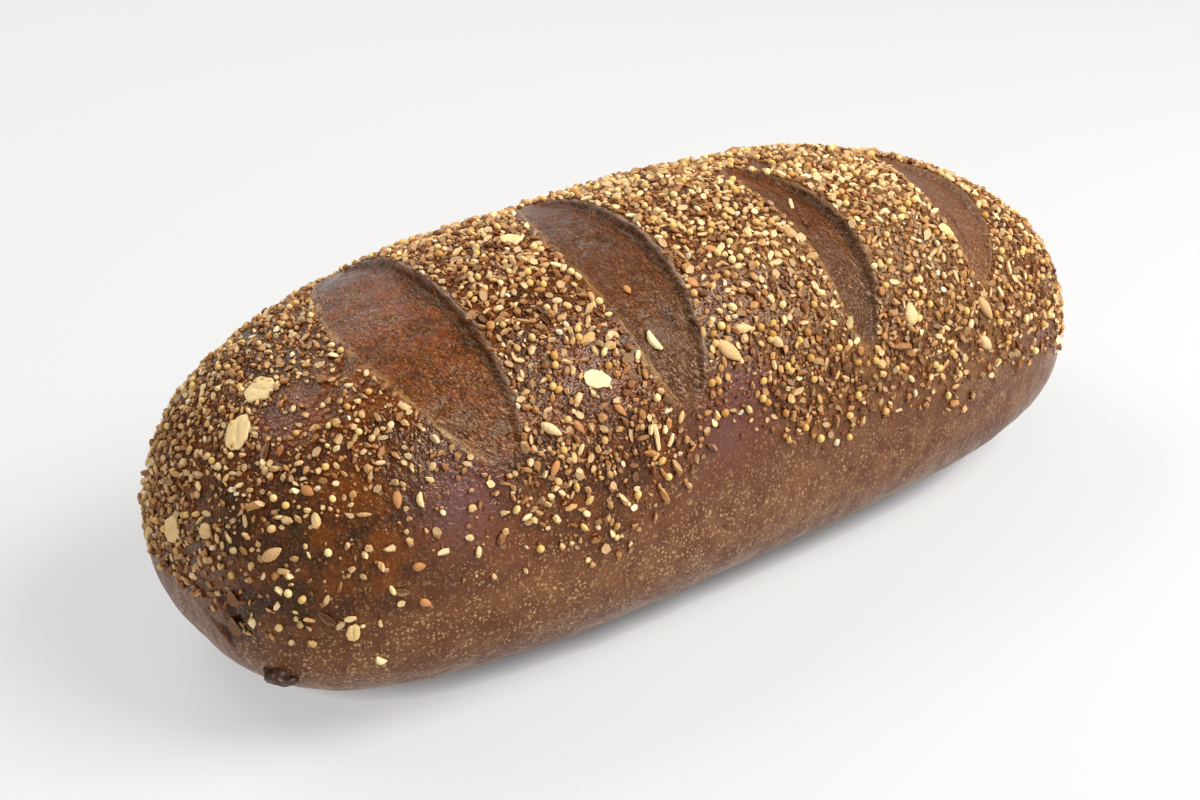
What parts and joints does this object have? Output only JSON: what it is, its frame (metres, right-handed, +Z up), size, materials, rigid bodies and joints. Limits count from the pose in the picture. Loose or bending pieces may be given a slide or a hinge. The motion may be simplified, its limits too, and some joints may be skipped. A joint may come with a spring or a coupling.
{
  "type": "pumpernickel loaf",
  "caption": "Long dark rye loaf, baked free on the hearth: glossy brown crust, slanting scores opened across the crown, and a cracked grain and seed topping.",
  "frame": {"origin": "on the supporting surface, under the middle of the loaf's length and width", "axes": "+X along the loaf towards its lower end, +Y to its back, away from the side where the topping's edge shows a bare bay, +Z up through the crown"},
  "size_m": [0.3005, 0.1243, 0.1031],
  "materials": {
    "dark_crust": null
  },
  "bodies": {
    "root": {"loaf": "dark_crust"}
  },
  "joints": []
}
